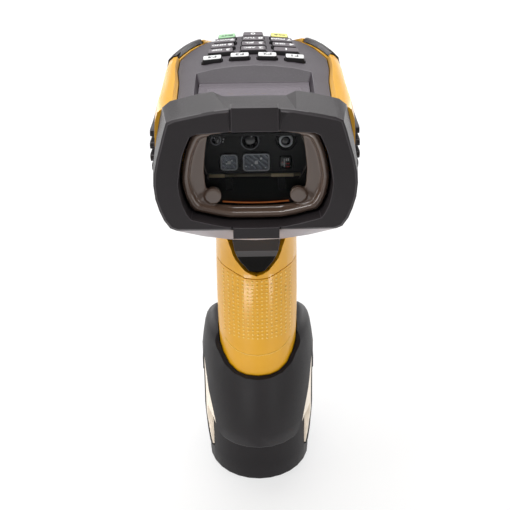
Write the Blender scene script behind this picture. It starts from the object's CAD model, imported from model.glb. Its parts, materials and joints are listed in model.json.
# Looks of a cordless handheld barcode scanner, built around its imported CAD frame.
# Metres, the frame's own axes: the scan window looks along -Y and the user stands at +Y.
import json
import math

import bmesh
import bpy
from mathutils import Euler, Matrix, Vector
from mathutils.bvhtree import BVHTree


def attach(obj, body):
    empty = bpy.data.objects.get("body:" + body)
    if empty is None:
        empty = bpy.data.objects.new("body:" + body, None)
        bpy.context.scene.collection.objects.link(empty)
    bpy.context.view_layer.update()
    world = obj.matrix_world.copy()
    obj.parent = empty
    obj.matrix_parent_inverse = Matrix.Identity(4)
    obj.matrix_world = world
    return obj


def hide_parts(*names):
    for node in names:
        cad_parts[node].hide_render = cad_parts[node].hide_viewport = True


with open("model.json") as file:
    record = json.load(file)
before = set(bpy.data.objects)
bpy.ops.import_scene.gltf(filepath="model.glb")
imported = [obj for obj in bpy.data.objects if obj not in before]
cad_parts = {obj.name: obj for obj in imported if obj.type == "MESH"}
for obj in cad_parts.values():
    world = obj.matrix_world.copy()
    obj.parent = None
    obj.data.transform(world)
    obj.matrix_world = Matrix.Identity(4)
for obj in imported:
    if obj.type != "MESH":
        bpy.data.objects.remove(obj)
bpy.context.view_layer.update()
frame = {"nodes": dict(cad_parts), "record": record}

mm = 0.001

# Where the head stands, and the tilt of its nose
head_forward = 78 * mm
head_height = 187 * mm
nose_tilt = math.radians(12)
head_place = Matrix.Translation((0, -head_forward, head_height)) @ Matrix.Rotation(-nose_tilt, 4, "X")
head_turn = head_place.to_3x3()

# Mesh care
merge_distance = 0.002 * mm
short_edge = 0.1 * mm
flat_angle = math.radians(0.6)
smooth_angle = math.radians(32)
bevel_angle = math.radians(36)
bevel_segments = 2
melt_grid = 0.28 * mm
melt_passes = 20

# Bumper: reach of the tab's plain edges, and where the paler underside begins
tab_reach = 11 * mm
tab_level = -18.5 * mm
chin_facing = -0.7
chin_level = -18.5 * mm
chin_depth = 1 * mm

# Deck: where its plain tail flange begins
deck_tail = 99 * mm

# Trigger: where its lighter upper face begins
trigger_grey_level = 126 * mm

# Camera and room
camera_place = (-0.6 * mm, -502 * mm, 451.9 * mm)
camera_pitch = math.radians(55)
camera_roll = math.radians(-0.9)
camera_lens = 103.55
camera_sensor = 36
floor_half = 4000 * mm
floor_grey = 0.9
floor_white_share = 0.7
world_strength = 0.26

# Engine lenses: middles across and up, and profiles of radius, depth and finish of the next stretch
engine_back = 28 * mm
lens_steps = 40
imager_middle = (-1.7 * mm, 5.6 * mm)
imager_profile = [(0, 28, 0), (3.4, 28, 0), (3.4, 23.1, 1), (3.2, 22.85, 1), (2.95, 22.85, 0),
                  (2.75, 23.3, 0), (2.3, 23.9, 0), (2.2, 23.5, 2), (1.9, 23.25, 2), (1.2, 23, 2),
                  (0, 22.9, 2)]
aiming_middle = (11 * mm, 5.2 * mm)
aiming_profile = [(0, 28, 0), (3.4, 28, 0), (3.4, 24.2, 1), (3.3, 23.9, 0), (3.1, 23.9, 0), (2.9, 24.6, 0),
                  (2.5, 24.6, 3), (2.35, 23.3, 3), (1.9, 23.2, 3), (1.65, 23.7, 2), (1.2, 23.45, 2),
                  (0.6, 23.3, 2), (0, 23.25, 2)]
range_middle = (-13.8 * mm, 5.7 * mm)
range_profile = [(0, 28, 0), (1.4, 28, 0), (1.4, 23.95, 0), (1.95, 23.95, 1), (1.85, 23.6, 1),
                 (1.55, 23.6, 1), (1.45, 23.9, 0), (1.2, 23.9, 2), (0.6, 23.65, 2), (0, 23.6, 2)]
glint_places = [((9.2, 23.4, 3.9), 0.34, "glint_green"), ((12.5, 23.25, 6.3), 0.26, "glint_white"),
                ((-11.1, 24, 6), 0.3, "glint_white"), ((-11.3, 24, 5), 0.2, "glint_white"),
                ((-1.2, 22.95, 7.2), 0.2, "glint_white"), ((-14.3, 23.75, 6.5), 0.22, "glint_white"),
                ((2.1, 22.6, -0.9), 0.46, "glint_white"), ((-1.2, 22.7, -3.4), 0.3, "glint_white"),
                ((-3.3, 22.7, -3.9), 0.22, "glint_white"), ((-10.2, 22.7, -2.7), 0.3, "glint_white"),
                ((-8.3, 22.7, -1.6), 0.3, "glint_white"), ((3.6, 22.7, -4.4), 0.2, "glint_white")]

# Moulded light lenses: node, low and high corners across and up, columns and rows of facets
light_lenses = [("light_lens_left", (-12.4, -5.4), (-6.2, 0.6), 3, 3),
                ("light_lens_centre", (-4.4, -5.8), (5.2, 0.8), 4, 3)]
lens_front = 22.7 * mm
rim_width = 0.55 * mm
rim_corner = 1.3 * mm
facet_level = 23.5 * mm
facet_rise = 0.7 * mm
facet_back = 0.4 * mm
die_half = 0.6 * mm

# Lines seen through the window, as places across, depth and up
edge_line_radius = 0.14 * mm
edge_lines = {
    "pane_edge_left": [(-17.4, 16, 9.6), (-18.4, 16, 5.6), (-18.3, 16, 1), (-17.5, 16, -3),
                       (-16.3, 16, -6.2)],
    "pane_edge_right": [(16.2, 16, 9.4), (18, 16, 5.4), (18.6, 16, 1), (17.4, 16, -3), (15.3, 16, -6.2)],
}
seal_line_radius = 0.3 * mm
seal_line = [(-11.6, 9.6, -12), (-6, 9.6, -12.5), (0, 9.6, -12.6), (6, 9.6, -12.5), (11.6, 9.6, -12)]

# Coding marks in the pattern window and bare metal on the board's edge
pattern_marks = [((10.2, -4.6), (10.5, -1.4), 0), ((10.9, -3.4), (12.2, -3.1), 1),
                 ((10.9, -2.3), (11.2, -1.3), 0), ((11.6, -2.3), (11.9, -1.3), 0),
                 ((10.9, -4.6), (12.2, -4.3), 1), ((9.5, -2.9), (9.9, -2.6), 1)]
mark_front = 23.4 * mm
board_pads = [(-16.6, -11), (5.6, 13.6)]
board_front = 23.7 * mm
board_level = -7.65 * mm
pad_half_height = 0.6 * mm
pad_proud = 0.08 * mm

# Display print under the glass
display_half_width = 19.6 * mm
display_front = 19.4 * mm
display_back = 49.6 * mm
display_print_level = 17.45 * mm
display_print_thick = 0.15 * mm
print_step = 0.04 * mm
field_side_inset = 2.5 * mm
field_front_inset = 6 * mm
field_back_inset = 1.5 * mm
mark_length = 2 * mm
mark_width = 0.5 * mm
mark_along = 41 * mm
mark_middles = [-8.4 * mm, 3.5 * mm]
faint_dots = [-4.6 * mm, -3 * mm, -1.4 * mm, 0.2 * mm]
faint_half = 0.25 * mm

# Key legends
legend_thick = 0.06 * mm
legend_sink = 0.03 * mm
legend_weight = 0.09 * mm
digit_size = 3.7 * mm
letter_size = 2.3 * mm
function_size = 3.6 * mm
word_size = 2.5 * mm
digit_shift = -2.9 * mm
letter_shift = 1.4 * mm
letter_drop = -0.4 * mm
top_depth = 0.3 * mm
crown_reach = 2.4 * mm
flat_top_share = 0.9
sloped_top_share = 0.4

# Raised dimples on the grip
dimple_pitch_across = 1.9 * mm
dimple_pitch_up = 1.9 * mm
dimple_radius = 0.48 * mm
dimple_height = 0.26 * mm
dimple_columns = 15
dimple_rows = 17
dimple_low = 83.5 * mm
grip_front_plane = -60 * mm

# Fine line under the dimples
grip_line_radius = 0.2 * mm
grip_line_steps = 48
grip_line_points = [(-13.4, 79), (-11, 77), (-7.8, 75.5), (-4, 74.8), (0, 74.5),
                    (4, 74.8), (7.8, 75.5), (11, 77), (13.4, 79)]


# A node group with named inputs and outputs
def shader_group(name, inputs, outputs):
    group = bpy.data.node_groups.new(name, "ShaderNodeTree")
    for label, kind, value in inputs:
        socket = group.interface.new_socket(name=label, in_out="INPUT", socket_type=kind)
        socket.default_value = value
    for label, kind in outputs:
        group.interface.new_socket(name=label, in_out="OUTPUT", socket_type=kind)
    return group


def add_node(tree, kind, **settings):
    node = tree.nodes.new(kind)
    for key, value in settings.items():
        setattr(node, key, value)
    return node


def map_range(tree, low, high, out_low=0.0, out_high=1.0):
    node = add_node(tree, "ShaderNodeMapRange")
    node.inputs["From Min"].default_value = low
    node.inputs["From Max"].default_value = high
    node.inputs["To Min"].default_value = out_low
    node.inputs["To Max"].default_value = out_high
    return node


def mix_colours(tree):
    return add_node(tree, "ShaderNodeMix", data_type="RGBA")


# Moulded grain: fine bumps of a real size, and a slow drift of tone
def moulded_grain_group():
    group = shader_group(
        "moulded_grain",
        [("Grain Size", "NodeSocketFloat", 0.3 * mm), ("Patch Size", "NodeSocketFloat", 18 * mm)],
        [("Height", "NodeSocketFloat"), ("Fleck", "NodeSocketFloat"), ("Drift", "NodeSocketFloat")],
    )
    start = add_node(group, "NodeGroupInput")
    end = add_node(group, "NodeGroupOutput")
    place = add_node(group, "ShaderNodeTexCoord")
    for source, target in (("Grain Size", "Height"), ("Patch Size", "Drift")):
        inverse = add_node(group, "ShaderNodeMath", operation="DIVIDE")
        inverse.inputs[0].default_value = 1
        group.links.new(start.outputs[source], inverse.inputs[1])
        noise = add_node(group, "ShaderNodeTexNoise")
        noise.inputs["Detail"].default_value = 3
        group.links.new(place.outputs["Object"], noise.inputs["Vector"])
        group.links.new(inverse.outputs[0], noise.inputs["Scale"])
        spread = map_range(group, 0.3, 0.7)
        group.links.new(noise.outputs["Fac"], spread.inputs["Value"])
        group.links.new(spread.outputs["Result"], end.inputs[target])
        if target == "Height":
            fleck = map_range(group, 0.56, 0.7)
            group.links.new(noise.outputs["Fac"], fleck.inputs["Value"])
            group.links.new(fleck.outputs["Result"], end.inputs["Fleck"])
    return group


# Colour of a moulded surface: flecks and slow drift over a base colour
def moulded_colour_group():
    group = shader_group(
        "moulded_colour",
        [
            ("Base", "NodeSocketColor", (0.5, 0.5, 0.5, 1)),
            ("Worn", "NodeSocketColor", (0.6, 0.6, 0.6, 1)),
            ("Fleck", "NodeSocketFloat", 0), ("Drift", "NodeSocketFloat", 0),
            ("Fleck Share", "NodeSocketFloat", 0.2), ("Drift Share", "NodeSocketFloat", 0.2),
        ],
        [("Color", "NodeSocketColor")],
    )
    start = add_node(group, "NodeGroupInput")
    end = add_node(group, "NodeGroupOutput")
    last = start.outputs["Base"]
    for mask, share in (("Drift", "Drift Share"), ("Fleck", "Fleck Share")):
        amount = add_node(group, "ShaderNodeMath", operation="MULTIPLY")
        group.links.new(start.outputs[mask], amount.inputs[0])
        group.links.new(start.outputs[share], amount.inputs[1])
        mix = mix_colours(group)
        group.links.new(amount.outputs[0], mix.inputs["Factor"])
        group.links.new(last, mix.inputs["A"])
        group.links.new(start.outputs["Worn"], mix.inputs["B"])
        last = mix.outputs["Result"]
    group.links.new(last, end.inputs["Color"])
    return group


moulded_grain = moulded_grain_group()
moulded_colour = moulded_colour_group()
finishes = {}


# Colour of a picture value from 0 to 255, as the shader takes it
def tone(red, green, blue):
    shares = (value / 255 for value in (red, green, blue))
    linear = (s / 12.92 if s <= 0.04045 else ((s + 0.055) / 1.055) ** 2.4 for s in shares)
    return (*linear, 1)


# Moulded plastic or rubber with its own grain
def moulded(name, base, worn, roughness, grain=0.3 * mm, patch=18 * mm, bump=0.2, depth=0.05 * mm,
            fleck_share=0.15, drift_share=0.3, coat=0.0, coat_roughness=0.1, metallic=0.0,
            roughness_spread=0.08, specular=0.5):
    material = bpy.data.materials.new(name)
    material.use_nodes = True
    tree = material.node_tree
    shader = tree.nodes["Principled BSDF"]
    grain_node = add_node(tree, "ShaderNodeGroup", node_tree=moulded_grain)
    grain_node.inputs["Grain Size"].default_value = grain
    grain_node.inputs["Patch Size"].default_value = patch
    colour = add_node(tree, "ShaderNodeGroup", node_tree=moulded_colour)
    colour.inputs["Base"].default_value = tone(*base)
    colour.inputs["Worn"].default_value = tone(*worn)
    colour.inputs["Fleck Share"].default_value = fleck_share
    colour.inputs["Drift Share"].default_value = drift_share
    for mask in ("Fleck", "Drift"):
        tree.links.new(grain_node.outputs[mask], colour.inputs[mask])
    tree.links.new(colour.outputs["Color"], shader.inputs["Base Color"])
    rough = map_range(tree, 0, 1, roughness - roughness_spread, roughness + roughness_spread)
    tree.links.new(grain_node.outputs["Height"], rough.inputs["Value"])
    tree.links.new(rough.outputs["Result"], shader.inputs["Roughness"])
    raised = add_node(tree, "ShaderNodeBump")
    raised.inputs["Strength"].default_value = bump
    raised.inputs["Distance"].default_value = depth
    tree.links.new(grain_node.outputs["Height"], raised.inputs["Height"])
    tree.links.new(raised.outputs["Normal"], shader.inputs["Normal"])
    shader.inputs["Metallic"].default_value = metallic
    shader.inputs["Coat Weight"].default_value = coat
    shader.inputs["Coat Roughness"].default_value = coat_roughness
    shader.inputs["Specular IOR Level"].default_value = specular
    finishes[name] = material
    return material


# Clear or tinted part that light passes
def see_through(name, base, alpha, roughness=0.05, grain=0.6 * mm, patch=12 * mm, bump=0.02, specular=0.5,
                coat=0.0):
    material = moulded(name, base, base, roughness, grain, patch, bump, 0.01 * mm, coat=coat,
                       coat_roughness=0.08, roughness_spread=0.02, specular=specular)
    material.node_tree.nodes["Principled BSDF"].inputs["Alpha"].default_value = alpha


# Finishes by name
moulded("yellow_shell", (216, 156, 6), (230, 172, 30), 0.4, grain=0.5 * mm,
        bump=0.06, depth=0.03 * mm, fleck_share=0.06, drift_share=0.3,
        coat=0.5, coat_roughness=0.15, specular=0.2)
moulded("dimple_yellow", (240, 198, 84), (248, 214, 120), 0.3, grain=0.5 * mm,
        bump=0.04, coat=0.5, coat_roughness=0.15)
moulded("black_rubber", (41, 37, 39), (53, 48, 51), 0.48, grain=0.35 * mm,
        bump=0.22, fleck_share=0.25, drift_share=0.4, specular=0.35)
moulded("chin_grey", (146, 138, 141), (160, 152, 155), 0.4, grain=0.35 * mm,
        bump=0.1, fleck_share=0.2, drift_share=0.4)
moulded("rubber_edge", (62, 57, 60), (78, 72, 76), 0.42, grain=0.35 * mm,
        bump=0.15, fleck_share=0.2, drift_share=0.4, specular=0.5)
moulded("boot_rubber", (25, 22, 24), (35, 31, 34), 0.5, grain=0.3 * mm,
        bump=0.12, fleck_share=0.15, drift_share=0.4, specular=0.22)
moulded("trigger_black", (6, 5, 5), (10, 9, 9), 0.5, grain=0.3 * mm,
        bump=0.1, fleck_share=0.1, drift_share=0.3, specular=0.05)
moulded("trigger_grey", (56, 54, 55), (66, 64, 65), 0.5, grain=0.3 * mm,
        bump=0.1, fleck_share=0.1, drift_share=0.3, specular=0.3)
moulded("deck_plastic", (58, 52, 58), (88, 80, 88), 0.52, grain=0.42 * mm,
        bump=0.35, depth=0.06 * mm, fleck_share=0.6, drift_share=0.2)
moulded("deck_edge", (100, 94, 100), (130, 123, 130), 0.5, grain=0.42 * mm,
        bump=0.2, fleck_share=0.4, drift_share=0.2)
see_through("smoky_frame", (112, 90, 77), 0.96, 0.2, bump=0.03, specular=0.6, coat=1.0)
see_through("clear_pane", (30, 32, 34), 0.08, 0.03)
moulded("black_inside", (11, 11, 12), (20, 20, 22), 0.45, grain=0.3 * mm, bump=0.1,
        specular=0.3)
moulded("lens_ring", (112, 114, 118), (146, 149, 154), 0.3, grain=0.2 * mm,
        bump=0.05, metallic=0.7)
moulded("lens_glass", (10, 12, 18), (18, 22, 32), 0.06, grain=2 * mm, bump=0.01,
        roughness_spread=0.02, coat=1.0, coat_roughness=0.03)
moulded("bright_ring", (226, 231, 236), (242, 245, 248), 0.4, grain=0.2 * mm,
        bump=0.05, metallic=0.3)
see_through("light_lens", (190, 196, 204), 0.3, 0.06, specular=0.9)
moulded("lens_rim", (206, 211, 217), (240, 243, 246), 0.2, grain=0.6 * mm, bump=0.1,
        fleck_share=0.9, coat=0.6, coat_roughness=0.05)
moulded("facet_glass", (176, 182, 190), (230, 234, 240), 0.12, grain=0.9 * mm, bump=0.05,
        roughness_spread=0.03, metallic=0.6, coat=0.8, coat_roughness=0.04)
moulded("glint_white", (246, 248, 250), (252, 252, 252), 0.3, bump=0.01)
moulded("glint_green", (60, 190, 150), (120, 220, 190), 0.25, bump=0.01)
moulded("mark_red", (196, 44, 40), (214, 70, 62), 0.5, bump=0.02)
moulded("seal_orange", (196, 104, 38), (214, 128, 56), 0.4, bump=0.05)
moulded("pane_edge", (112, 103, 98), (140, 131, 125), 0.25, bump=0.02, coat=0.4)
moulded("board", (120, 112, 88), (150, 140, 108), 0.55, grain=0.4 * mm, bump=0.1,
        fleck_share=0.4)
moulded("board_pad", (206, 190, 150), (226, 212, 176), 0.35, grain=0.4 * mm, bump=0.05,
        metallic=0.3)
see_through("screen_glass", (138, 131, 138), 0.55, 0.12, specular=0.6)
moulded("module_metal", (150, 152, 155), (176, 178, 180), 0.35, metallic=0.9, bump=0.05)
moulded("key_grey", (84, 77, 82), (102, 94, 100), 0.6, grain=0.3 * mm, bump=0.15)
moulded("key_white", (222, 222, 222), (234, 234, 232), 0.5, grain=0.3 * mm, bump=0.08)
moulded("key_green", (142, 190, 142), (166, 204, 166), 0.5, grain=0.3 * mm, bump=0.08)
moulded("key_yellow", (226, 220, 120), (234, 228, 150), 0.5, grain=0.3 * mm, bump=0.08)
moulded("key_side", (24, 22, 24), (33, 31, 33), 0.6, grain=0.3 * mm, bump=0.1, specular=0.3)
moulded("legend_dark", (30, 30, 34), (42, 42, 46), 0.5, bump=0.02)
moulded("legend_light", (226, 226, 226), (238, 238, 238), 0.5, bump=0.02)
moulded("silicone_mat", (44, 43, 46), (56, 55, 58), 0.7, bump=0.1)
moulded("steel", (170, 174, 178), (196, 200, 204), 0.3, metallic=0.95, bump=0.05)
moulded("cell_pack", (46, 78, 124), (62, 96, 144), 0.45, grain=0.6 * mm, bump=0.05)
moulded("gold_contact", (208, 164, 70), (228, 190, 106), 0.28, metallic=0.95, bump=0.04)
moulded("inlay_yellow", (250, 234, 212), (252, 240, 224), 0.36, grain=0.5 * mm,
        bump=0.05, coat=0.3, coat_roughness=0.2)
moulded("screen_dark", (70, 66, 70), (80, 76, 80), 0.4, grain=1 * mm, bump=0.02)
moulded("screen_field", (178, 170, 178), (186, 178, 186), 0.5, grain=0.25 * mm, bump=0.02)
moulded("mark_yellow", (216, 180, 60), (232, 198, 90), 0.5, bump=0.02)


# Mesh of a CAD node as a new mesh: loose triangles merged, flat faces joined
def merged_mesh(node):
    mesh = frame["nodes"][node].data.copy()
    mesh.materials.clear()
    shape = bmesh.new()
    shape.from_mesh(mesh)
    bmesh.ops.remove_doubles(shape, verts=shape.verts, dist=merge_distance)
    bmesh.ops.dissolve_degenerate(shape, edges=shape.edges, dist=short_edge)
    bmesh.ops.join_triangles(
        shape, faces=shape.faces, angle_face_threshold=flat_angle, angle_shape_threshold=math.pi,
    )
    for face in shape.faces:
        face.smooth = True
    shape.to_mesh(mesh)
    shape.free()
    for name in ("sharp_edge", "sharp_face", "custom_normal"):
        attribute = mesh.attributes.get(name)
        if attribute:
            mesh.attributes.remove(attribute)
    mesh.set_sharp_from_angle(angle=smooth_angle)
    return mesh


def scene_object(name, mesh):
    thing = bpy.data.objects.new(name, mesh)
    bpy.context.scene.collection.objects.link(thing)
    return thing


# Small round edges with normals that follow the faces
def rounded(thing, width, edge_material=None):
    bevel = thing.modifiers.new("round_edges", "BEVEL")
    bevel.width = width
    bevel.segments = bevel_segments
    bevel.limit_method = "ANGLE"
    bevel.angle_limit = bevel_angle
    bevel.use_clamp_overlap = False
    bevel.harden_normals = True
    if edge_material is not None:
        bevel.material = edge_material
    return thing


# A CAD node dressed as a new piece that stands for it
def dressed(node, finish, width, edge_finish=None):
    thing = scene_object(node + "_skin", merged_mesh(node))
    thing.data.materials.append(finishes[finish])
    if edge_finish:
        thing.data.materials.append(finishes[edge_finish])
    rounded(thing, width, 1 if edge_finish else None)
    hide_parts(node)
    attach(thing, body_of_node(node))
    return thing


def body_of_node(node):
    return next(body for body, nodes in frame["record"]["behaviour"]["bodies"].items() if node in nodes)


# A CAD node that stays, with a new finish
def finished(node, finish):
    thing = frame["nodes"][node]
    thing.data.materials.clear()
    thing.data.materials.append(finishes[finish])


def dress_housing():
    dress_bumper()
    softened("window_frame", "smoky_frame")
    dressed("scan_window", "clear_pane", 0.1 * mm)
    dressed("engine_block", "black_inside", 0.1 * mm)
    dressed("engine_housing", "black_inside", 0.12 * mm)
    dressed("head_shell", "yellow_shell", 0.15 * mm)
    dress_deck()
    dressed("display_window", "screen_glass", 0.1 * mm)
    for side in ("right", "left"):
        dressed("side_pad_" + side, "black_rubber", 0.15 * mm, "rubber_edge")
        dressed("rear_rail_" + side, "black_rubber", 0.2 * mm, "rubber_edge")
        dressed("side_inlay_" + side, "inlay_yellow", 0.1 * mm)
        dressed("latch_" + side, "black_rubber", 0.12 * mm, "rubber_edge")
        dressed("charge_contact_" + side, "gold_contact", 0.1 * mm)
    dressed("handle_frame", "yellow_shell", 0.12 * mm)
    dress_trigger()
    dressed("boot", "boot_rubber", 0.17 * mm)
    dressed("battery_base", "boot_rubber", 0.15 * mm)


# Marks the sharp edges that get a round edge: all but those that stay plain
def mark_round_edges(shape, stays_plain):
    to_head = head_place.inverted()
    weight = shape.edges.layers.float.new("bevel_weight_edge")
    for edge in shape.edges:
        middle = to_head @ ((edge.verts[0].co + edge.verts[1].co) / 2)
        edge[weight] = 0 if stays_plain(middle) or edge.calc_face_angle(0) < bevel_angle else 1


# Deck: rounded edges except on the flange at its tail
def dress_deck():
    deck = dressed("top_deck", "deck_plastic", 0.12 * mm, "deck_edge")
    shape = bmesh.new()
    shape.from_mesh(deck.data)
    mark_round_edges(shape, lambda middle: middle.y > deck_tail)
    shape.to_mesh(deck.data)
    shape.free()
    deck.modifiers["round_edges"].limit_method = "WEIGHT"


# Front bumper: rounded edges except round the tab's foot, and a paler underside
def dress_bumper():
    mesh = merged_mesh("front_bumper")
    shape = bmesh.new()
    shape.from_mesh(mesh)
    to_head = head_place.inverted()
    mark_round_edges(shape, lambda middle: abs(middle.x) < tab_reach and middle.z < tab_level)
    for face in shape.faces:
        middle = to_head @ face.calc_center_median()
        facing = head_turn.transposed() @ face.normal
        if facing.z < chin_facing and middle.z < chin_level and middle.y > chin_depth:
            face.material_index = 2
    shape.to_mesh(mesh)
    shape.free()
    thing = scene_object("front_bumper_skin", mesh)
    for finish in ("black_rubber", "rubber_edge", "chin_grey"):
        mesh.materials.append(finishes[finish])
    rounded(thing, 0.22 * mm, 1).modifiers["round_edges"].limit_method = "WEIGHT"
    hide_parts("front_bumper")
    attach(thing, "housing")


# Trigger: lighter above its finger hollow, near black in it
def dress_trigger():
    trigger = dressed("trigger", "trigger_black", 0.16 * mm, "rubber_edge")
    trigger.data.materials.append(finishes["trigger_grey"])
    shape = bmesh.new()
    shape.from_mesh(trigger.data)
    bmesh.ops.bisect_plane(shape, geom=shape.verts[:] + shape.edges[:] + shape.faces[:],
                           plane_co=(0, 0, trigger_grey_level), plane_no=(0, 0, 1))
    for face in shape.faces:
        if face.calc_center_median().z > trigger_grey_level:
            face.material_index = 2
    shape.to_mesh(trigger.data)
    shape.free()


# A CAD node whose sharp joins melt into each other, as in one soft moulding
def softened(node, finish):
    thing = scene_object(node + "_blank", merged_mesh(node))
    melt = thing.modifiers.new("melt", "REMESH")
    melt.mode = "VOXEL"
    melt.voxel_size = melt_grid
    even = thing.modifiers.new("even", "SMOOTH")
    even.factor = 0.5
    even.iterations = melt_passes
    skin = settled(thing, node + "_skin")
    for face in skin.data.polygons:
        face.use_smooth = True
    skin.data.materials.clear()
    skin.data.materials.append(finishes[finish])
    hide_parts(node)
    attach(skin, body_of_node(node))


# Parts that nobody sees keep their CAD shape
def finish_inner_parts():
    for node, finish in (
        ("display_module", "module_metal"), ("key_mat", "silicone_mat"), ("main_board", "board"),
        ("beeper", "black_inside"), ("trigger_pin", "steel"), ("trigger_spring", "steel"),
        ("trigger_switch", "black_inside"), ("battery_pack", "cell_pack"),
        ("contact_block", "gold_contact"),
    ):
        finished(node, finish)


# New piece from a bmesh that is drawn in the head's own axes
def head_piece(name, shape, names, node=None):
    bmesh.ops.transform(shape, matrix=head_place, verts=shape.verts)
    bmesh.ops.recalc_face_normals(shape, faces=shape.faces)
    mesh = bpy.data.meshes.new(name)
    shape.to_mesh(mesh)
    shape.free()
    mesh.set_sharp_from_angle(angle=smooth_angle)
    thing = scene_object(name, mesh)
    for finish in names:
        thing.data.materials.append(finishes[finish])
    if node:
        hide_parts(node)
    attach(thing, "housing")


# Body of revolution round an axis that looks out of the window
def lathe(shape, middle, profile):
    rings = []
    for radius, depth, _ in profile:
        count = lens_steps if radius else 1
        turns = [2 * math.pi * i / count for i in range(count)]
        rings.append([shape.verts.new((middle[0] + radius * mm * math.cos(turn), depth * mm,
                                       middle[1] + radius * mm * math.sin(turn))) for turn in turns])
    for (_, _, finish), first, second in zip(profile, rings, rings[1:]):
        for i in range(lens_steps):
            corners = [first[i % len(first)], first[(i + 1) % len(first)],
                       second[(i + 1) % len(second)], second[i % len(second)]]
            face = shape.faces.new(dict.fromkeys(corners))
            face.material_index = finish
            face.smooth = True


def dress_lenses():
    for node, middle, profile in (("imager_lens", imager_middle, imager_profile),
                                  ("aiming_lens", aiming_middle, aiming_profile),
                                  ("range_sensor", range_middle, range_profile)):
        shape = bmesh.new()
        lathe(shape, middle, profile)
        head_piece(node + "_glass", shape, ("black_inside", "lens_ring", "lens_glass", "bright_ring"),
                   node)
    for number, (place, radius, finish) in enumerate(glint_places):
        shape = bmesh.new()
        spot = Matrix.Translation([value * mm for value in place]) @ Matrix.Diagonal((1, 0.3, 1, 1))
        bmesh.ops.create_icosphere(shape, subdivisions=2, radius=radius * mm, matrix=spot)
        for face in shape.faces:
            face.smooth = True
        head_piece(f"glint_{number}", shape, (finish,))


# Rounded rectangle between two corners
def soft_rectangle(low, high, corner, steps=5):
    points = []
    for x, z, start in ((high[0] - corner, high[1] - corner, 0), (low[0] + corner, high[1] - corner, 1),
                        (low[0] + corner, low[1] + corner, 2), (high[0] - corner, low[1] + corner, 3)):
        for i in range(steps + 1):
            turn = (start + i / steps) * math.pi / 2
            points.append((x + corner * math.cos(turn), z + corner * math.sin(turn)))
    return points


# Closed ring or cup from outlines of equal length, each at its own depth
def skin_outlines(shape, outlines, finishes_between, close):
    rings = [[shape.verts.new((x, depth, z)) for x, z in points] for points, depth in outlines]
    pairs = list(zip(rings, rings[1:]))
    if close:
        pairs.append((rings[-1], rings[0]))
    for (first, second), finish in zip(pairs, finishes_between):
        for i in range(len(first)):
            j = (i + 1) % len(first)
            face = shape.faces.new((first[i], first[j], second[j], second[i]))
            face.material_index = finish
            face.smooth = True


# Moulded light lens: clear rim, a field of facets behind and a pale die in its middle
def dress_light_lens(node, low, high, columns, rows):
    low, high = [Vector(corner) * mm for corner in (low, high)]
    inset = Vector((rim_width, rim_width))
    outer = soft_rectangle(low, high, rim_corner)
    middle = soft_rectangle(low + inset / 3, high - inset / 3, rim_corner - rim_width / 3)
    inner = soft_rectangle(low + inset, high - inset, rim_corner - rim_width)
    shape = bmesh.new()
    skin_outlines(shape, [(outer, engine_back), (outer, lens_front + rim_width / 3), (middle, lens_front),
                          (inner, lens_front + rim_width / 2), (inner, engine_back)], (0, 1, 1, 0, 0), True)
    half = Vector((die_half, die_half))
    centre = (low + high) / 2
    die = soft_rectangle(centre - half, centre + half, die_half / 2)
    cap = soft_rectangle(centre - half / 2, centre + half / 2, die_half / 4)
    front = facet_level - facet_rise
    skin_outlines(shape, [(die, facet_level + facet_back), (die, front), (cap, front - facet_rise / 4)],
                  (2, 2), False)
    for outline, depth in ((cap, front - facet_rise / 4), (die, facet_level + facet_back)):
        corners = [shape.verts.new((x, depth, z)) for x, z in outline]
        shape.faces.new(corners).material_index = 2
    bmesh.ops.remove_doubles(shape, verts=shape.verts, dist=merge_distance)
    head_piece(node + "_rim", shape, ("light_lens", "lens_rim", "glint_white"), node)
    facets = facet_field(node, low + inset, high - inset, columns, rows)
    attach(facets, "housing")


# Geometry Nodes tree of a field of pyramids: a grid whose every other point stands forward
def facet_tree():
    tree = bpy.data.node_groups.new("lens_facets", "GeometryNodeTree")
    sockets = {}
    for name, kind in (("Width", "Float"), ("Height", "Float"), ("Rise", "Float"), ("Columns", "Int"),
                       ("Rows", "Int"), ("Finish", "Material")):
        socket = tree.interface.new_socket(name=name, in_out="INPUT", socket_type="NodeSocket" + kind)
        sockets[name] = socket.identifier
    tree.interface.new_socket(name="Geometry", in_out="OUTPUT", socket_type="NodeSocketGeometry")
    start = add_node(tree, "NodeGroupInput")
    end = add_node(tree, "NodeGroupOutput")
    grid = add_node(tree, "GeometryNodeMeshGrid")
    for source, target in (("Width", "Size X"), ("Height", "Size Y"), ("Columns", "Vertices X"),
                           ("Rows", "Vertices Y")):
        tree.links.new(start.outputs[source], grid.inputs[target])
    parity = add_node(tree, "ShaderNodeMath", operation="MODULO")
    tree.links.new(add_node(tree, "GeometryNodeInputIndex").outputs[0], parity.inputs[0])
    parity.inputs[1].default_value = 2
    rise = add_node(tree, "ShaderNodeMath", operation="MULTIPLY")
    tree.links.new(parity.outputs[0], rise.inputs[0])
    tree.links.new(start.outputs["Rise"], rise.inputs[1])
    forward = add_node(tree, "ShaderNodeCombineXYZ")
    tree.links.new(rise.outputs[0], forward.inputs["Z"])
    moved = add_node(tree, "GeometryNodeSetPosition")
    tree.links.new(grid.outputs["Mesh"], moved.inputs["Geometry"])
    tree.links.new(forward.outputs[0], moved.inputs["Offset"])
    cut = add_node(tree, "GeometryNodeTriangulate")
    tree.links.new(moved.outputs[0], cut.inputs["Mesh"])
    paint = add_node(tree, "GeometryNodeSetMaterial")
    tree.links.new(cut.outputs[0], paint.inputs["Geometry"])
    tree.links.new(start.outputs["Finish"], paint.inputs["Material"])
    tree.links.new(paint.outputs[0], end.inputs["Geometry"])
    return tree, sockets


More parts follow.
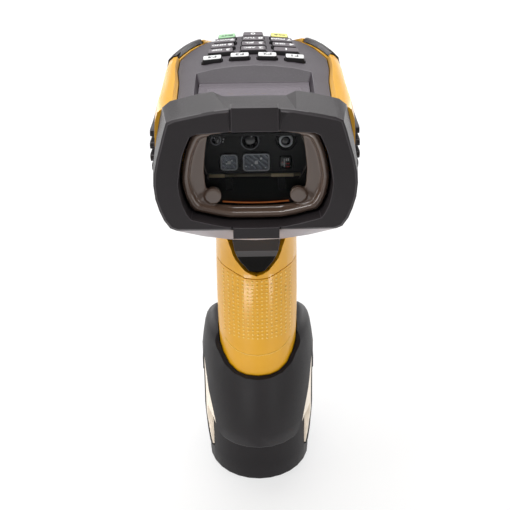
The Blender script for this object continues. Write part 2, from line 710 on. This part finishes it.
# One closed field of facets behind a light lens
def facet_field(node, low, high, columns, rows):
    tree, sockets = facet_tree()
    carrier = scene_object(node + "_facet_carrier", bpy.data.meshes.new("facet_carrier"))
    modifier = carrier.modifiers.new("facets", "NODES")
    modifier.node_group = tree
    gap = merge_distance
    for name, value in (("Width", high[0] - low[0] - gap), ("Height", high[1] - low[1] - gap),
                        ("Rise", facet_rise), ("Columns", 2 * columns + 1), ("Rows", 2 * rows + 1),
                        ("Finish", finishes["facet_glass"])):
        modifier[sockets[name]] = value
    thick = carrier.modifiers.new("thickness", "SOLIDIFY")
    thick.thickness = facet_back
    thick.offset = -1
    facets = settled(carrier, node + "_facets")
    middle = (low + high) / 2
    stand = Matrix.Translation((middle[0], facet_level, middle[1])) @ Matrix.Rotation(math.pi / 2, 4, "X")
    facets.data.transform(head_place @ stand)
    return facets


# Thin closed tube through points in the head's own axes
def head_line(name, points, radius, finish):
    path = [head_place @ (Vector(point) * mm) for point in points]
    tube_along(name, path, radius, finish)


# Closed tube along a line through points, smooth unless it is a plain polyline
def tube_along(name, path, radius, finish, kind="NURBS"):
    curve = bpy.data.curves.new(name, "CURVE")
    curve.dimensions = "3D"
    curve.bevel_depth = radius
    curve.bevel_resolution = 2
    curve.use_fill_caps = True
    spline = curve.splines.new(kind)
    spline.points.add(len(path) - 1)
    for point, spot in zip(spline.points, path):
        point.co = (*spot, 1)
    spline.use_endpoint_u = True
    spline.order_u = 3
    tube = settled(scene_object(name + "_path", curve), name)
    tube.data.materials.clear()
    tube.data.materials.append(finishes[finish])
    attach(tube, "housing")


# Pattern window with its coding marks, and the board's bare edge
def dress_marks():
    dressed("pattern_window", "lens_glass", 0.1 * mm)
    shape = bmesh.new()
    for low, high, finish in pattern_marks:
        plate(shape, (low[0] * mm, mark_front, low[1] * mm),
              (high[0] * mm, mark_front + pad_proud, high[1] * mm), finish)
    head_piece("pattern_marks", shape, ("glint_white", "mark_red"))
    dressed("engine_board", "board", 0.08 * mm)
    shape = bmesh.new()
    for low, high in board_pads:
        plate(shape, (low * mm, board_front - pad_proud, board_level - pad_half_height),
              (high * mm, board_front + pad_proud, board_level + pad_half_height), 0)
    head_piece("board_pads", shape, ("board_pad",))


# Thin closed plate between two corners
def plate(shape, low, high, finish):
    made = bmesh.ops.create_cube(shape, size=1)
    size = Vector(high) - Vector(low)
    place = Matrix.Translation((Vector(high) + Vector(low)) / 2) @ Matrix.Diagonal((*size, 1))
    bmesh.ops.transform(shape, matrix=place, verts=made["verts"])
    for face in {face for vert in made["verts"] for face in vert.link_faces}:
        face.material_index = finish


def dress_engine():
    dress_lenses()
    for lens in light_lenses:
        dress_light_lens(*lens)
    dress_marks()
    for name, points in edge_lines.items():
        head_line(name, points, edge_line_radius, "pane_edge")
    head_line("seal_line", seal_line, seal_line_radius, "seal_orange")


# A word on a flat place as a closed mesh, read by someone behind the tail
def word_mesh(text, size):
    curve = bpy.data.curves.new("word_" + text, "FONT")
    curve.body = text
    curve.size = size
    curve.extrude = legend_thick / 2
    curve.offset = legend_weight
    curve.align_x = "CENTER"
    curve.align_y = "CENTER"
    curve.resolution_u = 3
    thing = bpy.data.objects.new("word", curve)
    bpy.context.scene.collection.objects.link(thing)
    bpy.context.view_layer.update()
    evaluated = thing.evaluated_get(bpy.context.evaluated_depsgraph_get())
    mesh = bpy.data.meshes.new_from_object(evaluated)
    bpy.data.objects.remove(thing)
    bpy.data.curves.remove(curve)
    low = [min(v.co[i] for v in mesh.vertices) for i in range(2)]
    high = [max(v.co[i] for v in mesh.vertices) for i in range(2)]
    mesh.transform(Matrix.Translation((-(low[0] + high[0]) / 2, -(low[1] + high[1]) / 2, 0)))
    return mesh


# Adds one mesh to another, with its faces on one material
def add_mesh(shape, mesh, place, material_index):
    before = len(shape.faces)
    mesh.transform(place)
    shape.from_mesh(mesh)
    bpy.data.meshes.remove(mesh)
    shape.faces.ensure_lookup_table()
    for face in shape.faces[before:]:
        face.material_index = material_index


key_words = {"clear": "CLR", "enter": "ENT"}
key_letters = {"2": "ABC", "3": "DEF", "4": "GHI", "5": "JKL", "6": "MNO", "7": "PQRS", "8": "TUV",
               "9": "WXYZ"}


# Words on a key: text, size, shift across and shift up as the user reads them
def key_label(name):
    if name in key_words:
        return [(key_words[name], word_size, 0, 0)]
    if name.startswith("f"):
        return [(name.upper(), function_size, 0, 0)]
    if name in key_letters:
        return [(name, digit_size, digit_shift, 0),
                (key_letters[name], letter_size, letter_shift, letter_drop)]
    return [(name, digit_size, 0, 0)]


# One key: coloured top that follows the deck's tilt, black side walls, printed legend
def dress_key(name):
    node = "key_" + name
    mesh = merged_mesh(node)
    top_finish = {"clear": "key_yellow", "enter": "key_green"}.get(name, "key_grey")
    if name.startswith("f"):
        top_finish = "key_white"
    legend = "legend_light" if top_finish == "key_grey" else "legend_dark"
    up = head_turn @ Vector((0, 0, 1))
    shape = bmesh.new()
    shape.from_mesh(mesh)
    crown = max(vert.co.dot(up) for vert in shape.verts)
    tops = [face for face in shape.faces
            if face.normal.dot(up) > flat_top_share
            and face.calc_center_median().dot(up) > crown - crown_reach]
    top = max(tops, key=lambda face: face.calc_area())
    out = top.normal.copy()
    level = top.calc_center_median().dot(out)
    for face in shape.faces:
        near = level - face.calc_center_median().dot(out) < top_depth
        face.material_index = 0 if near and face.normal.dot(out) > sloped_top_share else 1
    rim = [vert.co for vert in shape.verts if level - vert.co.dot(out) < merge_distance]
    middle = sum(rim, Vector()) / len(rim)
    right = (Vector((-1, 0, 0)) + out * out.x).normalized()
    ahead = out.cross(right)
    for text, size, across, along in key_label(name):
        spot = middle + right * across + ahead * along + out * (legend_thick / 2 - legend_sink)
        place = Matrix((right, ahead, out)).transposed().to_4x4()
        add_mesh(shape, word_mesh(text, size), Matrix.Translation(spot) @ place, 2)
    shape.to_mesh(mesh)
    shape.free()
    thing = scene_object(node + "_cap", mesh)
    for finish in (top_finish, "key_side", legend):
        thing.data.materials.append(finishes[finish])
    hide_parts(node)
    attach(thing, node + "_body")


def dress_keys():
    for name in ("f1", "f2", "f3", "f4", *"123456789", "clear", "0", "enter"):
        dress_key(name)


# Print under the display glass: dark border, paler field, two short marks and faint dots
def display_print():
    top = display_print_level
    half = display_half_width - field_side_inset
    shape = bmesh.new()
    plate(shape, (-display_half_width, display_front, top - display_print_thick),
          (display_half_width, display_back, top), 0)
    plate(shape, (-half, display_front + field_front_inset, top),
          (half, display_back - field_back_inset, top + print_step), 1)
    for x in mark_middles:
        plate(shape, (x - mark_length / 2, mark_along - mark_width / 2, top + print_step),
              (x + mark_length / 2, mark_along + mark_width / 2, top + 2 * print_step), 2)
    for x in faint_dots:
        plate(shape, (x - faint_half, mark_along - faint_half, top + print_step),
              (x + faint_half, mark_along + faint_half, top + 2 * print_step), 2)
    head_piece("display_print", shape, ("screen_dark", "screen_field", "mark_yellow"))


# Geometry Nodes tree that sets small dimples on a surface in rows and columns
def dimple_tree():
    tree = bpy.data.node_groups.new("grip_dimples", "GeometryNodeTree")
    sockets = {}
    for name, kind, value in (
        ("Surface", "NodeSocketObject", None), ("Finish", "NodeSocketMaterial", None),
        ("Pitch Across", "NodeSocketFloat", dimple_pitch_across),
        ("Pitch Up", "NodeSocketFloat", dimple_pitch_up),
        ("Radius", "NodeSocketFloat", dimple_radius), ("Height", "NodeSocketFloat", dimple_height),
        ("Columns", "NodeSocketInt", dimple_columns), ("Rows", "NodeSocketInt", dimple_rows),
        ("Low", "NodeSocketFloat", dimple_low), ("Front", "NodeSocketFloat", grip_front_plane),
    ):
        socket = tree.interface.new_socket(name=name, in_out="INPUT", socket_type=kind)
        if value is not None:
            socket.default_value = value
        sockets[name] = socket.identifier
    tree.interface.new_socket(name="Geometry", in_out="OUTPUT", socket_type="NodeSocketGeometry")
    start = add_node(tree, "NodeGroupInput")
    end = add_node(tree, "NodeGroupOutput")

    def maths(operation, first, second):
        node = add_node(tree, "ShaderNodeMath", operation=operation)
        for socket, value in zip(node.inputs, (first, second)):
            if isinstance(value, (int, float)):
                socket.default_value = value
            else:
                tree.links.new(value, socket)
        return node.outputs[0]

    cell = add_node(tree, "GeometryNodeInputIndex").outputs[0]
    column = maths("MODULO", cell, start.outputs["Columns"])
    row = maths("FLOOR", maths("DIVIDE", cell, start.outputs["Columns"]), 0)
    middle = maths("DIVIDE", maths("SUBTRACT", start.outputs["Columns"], 1), 2)
    across = maths("MULTIPLY", maths("SUBTRACT", column, middle), start.outputs["Pitch Across"])
    up = maths("ADD", maths("MULTIPLY", row, start.outputs["Pitch Up"]), start.outputs["Low"])
    points = add_node(tree, "GeometryNodePoints")
    count = maths("MULTIPLY", start.outputs["Columns"], start.outputs["Rows"])
    tree.links.new(count, points.inputs["Count"])
    place = add_node(tree, "ShaderNodeCombineXYZ")
    tree.links.new(across, place.inputs["X"])
    tree.links.new(start.outputs["Front"], place.inputs["Y"])
    tree.links.new(up, place.inputs["Z"])
    tree.links.new(place.outputs[0], points.inputs["Position"])
    surface = add_node(tree, "GeometryNodeObjectInfo", transform_space="ORIGINAL")
    tree.links.new(start.outputs["Surface"], surface.inputs["Object"])
    ray = add_node(tree, "GeometryNodeRaycast", data_type="FLOAT_VECTOR")
    tree.links.new(surface.outputs["Geometry"], ray.inputs["Target Geometry"])
    ray.inputs["Ray Direction"].default_value = (0, 1, 0)
    ray.inputs["Ray Length"].default_value = abs(grip_front_plane)
    missed = add_node(tree, "FunctionNodeBooleanMath", operation="NOT")
    tree.links.new(ray.outputs["Is Hit"], missed.inputs[0])
    landed = add_node(tree, "GeometryNodeSetPosition")
    tree.links.new(ray.outputs["Hit Position"], landed.inputs["Position"])
    store = add_node(tree, "GeometryNodeStoreNamedAttribute", data_type="FLOAT_VECTOR", domain="POINT")
    store.inputs["Name"].default_value = "facing"
    tree.links.new(points.outputs[0], store.inputs["Geometry"])
    tree.links.new(ray.outputs["Hit Normal"], store.inputs["Value"])
    kept = add_node(tree, "GeometryNodeDeleteGeometry", domain="POINT")
    tree.links.new(store.outputs[0], kept.inputs["Geometry"])
    tree.links.new(missed.outputs[0], kept.inputs["Selection"])
    tree.links.new(kept.outputs[0], landed.inputs["Geometry"])
    facing = add_node(tree, "GeometryNodeInputNamedAttribute", data_type="FLOAT_VECTOR")
    facing.inputs["Name"].default_value = "facing"
    turn = add_node(tree, "FunctionNodeAlignRotationToVector", axis="Z")
    tree.links.new(facing.outputs["Attribute"], turn.inputs["Vector"])
    dot = add_node(tree, "GeometryNodeMeshUVSphere")
    dot.inputs["Segments"].default_value = 8
    dot.inputs["Rings"].default_value = 6
    tree.links.new(start.outputs["Radius"], dot.inputs["Radius"])
    flatten = add_node(tree, "GeometryNodeTransform")
    squeeze = add_node(tree, "ShaderNodeCombineXYZ")
    squeeze.inputs["X"].default_value = 1
    squeeze.inputs["Y"].default_value = 1
    tree.links.new(maths("DIVIDE", start.outputs["Height"], start.outputs["Radius"]), squeeze.inputs["Z"])
    tree.links.new(dot.outputs["Mesh"], flatten.inputs["Geometry"])
    tree.links.new(squeeze.outputs[0], flatten.inputs["Scale"])
    copies = add_node(tree, "GeometryNodeInstanceOnPoints")
    tree.links.new(landed.outputs[0], copies.inputs["Points"])
    tree.links.new(flatten.outputs[0], copies.inputs["Instance"])
    tree.links.new(turn.outputs[0], copies.inputs["Rotation"])
    real = add_node(tree, "GeometryNodeRealizeInstances")
    tree.links.new(copies.outputs[0], real.inputs[0])
    soft = add_node(tree, "GeometryNodeSetShadeSmooth")
    tree.links.new(real.outputs[0], soft.inputs["Geometry"])
    paint = add_node(tree, "GeometryNodeSetMaterial")
    tree.links.new(soft.outputs[0], paint.inputs["Geometry"])
    tree.links.new(start.outputs["Finish"], paint.inputs["Material"])
    tree.links.new(paint.outputs[0], end.inputs["Geometry"])
    return tree, sockets


# The evaluated result of a modifier as a plain mesh, in a new object
def settled(thing, name):
    bpy.context.view_layer.update()
    evaluated = thing.evaluated_get(bpy.context.evaluated_depsgraph_get())
    mesh = bpy.data.meshes.new_from_object(evaluated)
    mesh.name = name
    bpy.data.objects.remove(thing)
    return scene_object(name, mesh)


def dress_grip():
    grip = dressed("grip_front", "yellow_shell", 0.12 * mm)
    tree, sockets = dimple_tree()
    carrier = scene_object("dimple_carrier", bpy.data.meshes.new("dimple_carrier"))
    modifier = carrier.modifiers.new("dimples", "NODES")
    modifier.node_group = tree
    modifier[sockets["Surface"]] = grip
    modifier[sockets["Finish"]] = finishes["dimple_yellow"]
    dimples = settled(carrier, "grip_dimples")
    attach(dimples, "housing")
    grip_line(grip)


# Thin raised line across the grip under the dimples, as a closed tube along the surface
def grip_line(grip):
    surface = BVHTree.FromObject(grip, bpy.context.evaluated_depsgraph_get())
    path = []
    last = len(grip_line_points) - 1
    for i in range(grip_line_steps + 1):
        start = min(int(i * last / grip_line_steps), last - 1)
        share = i * last / grip_line_steps - start
        x, z = Vector(grip_line_points[start]).lerp(Vector(grip_line_points[start + 1]), share)
        spot = surface.ray_cast(Vector((x * mm, grip_front_plane, z * mm)), Vector((0, 1, 0)))[0]
        if spot:
            path.append(spot)
    tube_along("grip_line", path, grip_line_radius, "dimple_yellow", "POLY")


# Plain pale floor that keeps the object's shadow and shows white to the camera
def make_floor():
    mesh = bpy.data.meshes.new("floor")
    shape = bmesh.new()
    bmesh.ops.create_grid(shape, x_segments=1, y_segments=1, size=floor_half)
    shape.to_mesh(mesh)
    shape.free()
    material = bpy.data.materials.new("floor_white")
    material.use_nodes = True
    tree = material.node_tree
    plain = tree.nodes["Principled BSDF"]
    plain.inputs["Base Color"].default_value = (floor_grey, floor_grey, floor_grey, 1)
    plain.inputs["Roughness"].default_value = 0.9
    plain.inputs["Specular IOR Level"].default_value = 0.1
    glow = add_node(tree, "ShaderNodeEmission")
    mix = add_node(tree, "ShaderNodeMixShader")
    seen = seen_share(tree, floor_white_share, ("Is Glossy Ray", "Is Transmission Ray"))
    tree.links.new(seen, mix.inputs["Fac"])
    tree.links.new(plain.outputs[0], mix.inputs[1])
    tree.links.new(glow.outputs[0], mix.inputs[2])
    tree.links.new(mix.outputs[0], tree.nodes["Material Output"].inputs["Surface"])
    mesh.materials.append(material)
    floor = scene_object("floor", mesh)


# Share of white for rays that come from the camera, and from the other rays named
def seen_share(tree, share, rays):
    path = add_node(tree, "ShaderNodeLightPath")
    last = path.outputs["Is Camera Ray"]
    for name in rays:
        most = add_node(tree, "ShaderNodeMath", operation="MAXIMUM")
        tree.links.new(last, most.inputs[0])
        tree.links.new(path.outputs[name], most.inputs[1])
        last = most.outputs[0]
    part = add_node(tree, "ShaderNodeMath", operation="MULTIPLY")
    part.inputs[1].default_value = share
    tree.links.new(last, part.inputs[0])
    return part.outputs[0]


def make_world():
    world = bpy.data.worlds.new("studio")
    bpy.context.scene.world = world
    world.use_nodes = True
    tree = world.node_tree
    soft = tree.nodes["Background"]
    soft.inputs["Color"].default_value = (1, 1, 1, 1)
    soft.inputs["Strength"].default_value = world_strength
    white = add_node(tree, "ShaderNodeBackground")
    white.inputs["Strength"].default_value = 1
    mix = add_node(tree, "ShaderNodeMixShader")
    tree.links.new(seen_share(tree, 1, ("Is Transmission Ray",)), mix.inputs["Fac"])
    tree.links.new(soft.outputs[0], mix.inputs[1])
    tree.links.new(white.outputs[0], mix.inputs[2])
    tree.links.new(mix.outputs[0], tree.nodes["World Output"].inputs["Surface"])


# Soft lamps: name, place, target, width, height and power
lamps = [
    ("lamp_top", (-0.1, 0.1, 1.1), (0, 0, 0.15), 0.9, 0.6, 9.5),
    ("lamp_left", (-0.75, -0.25, 0.5), (0, 0, 0.15), 0.12, 0.6, 1.4),
    ("lamp_right", (0.75, -0.25, 0.5), (0, 0, 0.15), 0.12, 0.6, 0.8),
    ("lamp_back", (0, 0.8, 0.7), (0, 0, 0.12), 0.9, 0.5, 5),
    ("glint_strip_left", (-0.056, -0.148, 0.024), (-0.0035, -0.035, 0.105), 0.042, 0.034, 0.05),
    ("glint_strip_right", (0.076, -0.146, 0.024), (0.005, -0.035, 0.105), 0.03, 0.034, 0.035),
    ("lamp_rim_left", (-0.38, 0.5, 0.12), (-0.03, -0.03, 0.18), 0.3, 0.3, 1.4),
    ("lamp_rim_right", (0.38, 0.5, 0.12), (0.03, -0.03, 0.18), 0.3, 0.3, 1.4),
]


def make_lamps():
    for name, place, target, width, height, power in lamps:
        data = bpy.data.lights.new(name, "AREA")
        data.shape = "RECTANGLE"
        data.size = width
        data.size_y = height
        data.energy = power
        lamp = bpy.data.objects.new(name, data)
        lamp.visible_camera = False
        lamp.location = place
        lamp.rotation_euler = (Vector(target) - Vector(place)).to_track_quat("-Z", "Y").to_euler()
        bpy.context.scene.collection.objects.link(lamp)


def make_camera():
    data = bpy.data.cameras.new("camera")
    data.lens = camera_lens
    data.sensor_width = camera_sensor
    data.clip_start = 10 * mm
    data.clip_end = 20000 * mm
    camera = bpy.data.objects.new("camera", data)
    turn = Euler((camera_pitch, 0, 0)).to_matrix() @ Matrix.Rotation(camera_roll, 3, "Z")
    camera.matrix_world = Matrix.Translation(camera_place) @ turn.to_4x4()
    bpy.context.scene.collection.objects.link(camera)
    bpy.context.scene.camera = camera


make_camera()
dress_housing()
dress_engine()
finish_inner_parts()
dress_keys()
display_print()
dress_grip()
make_floor()
make_world()
make_lamps()
bpy.context.scene.view_settings.view_transform = "Standard"

bpy.context.view_layer.update()
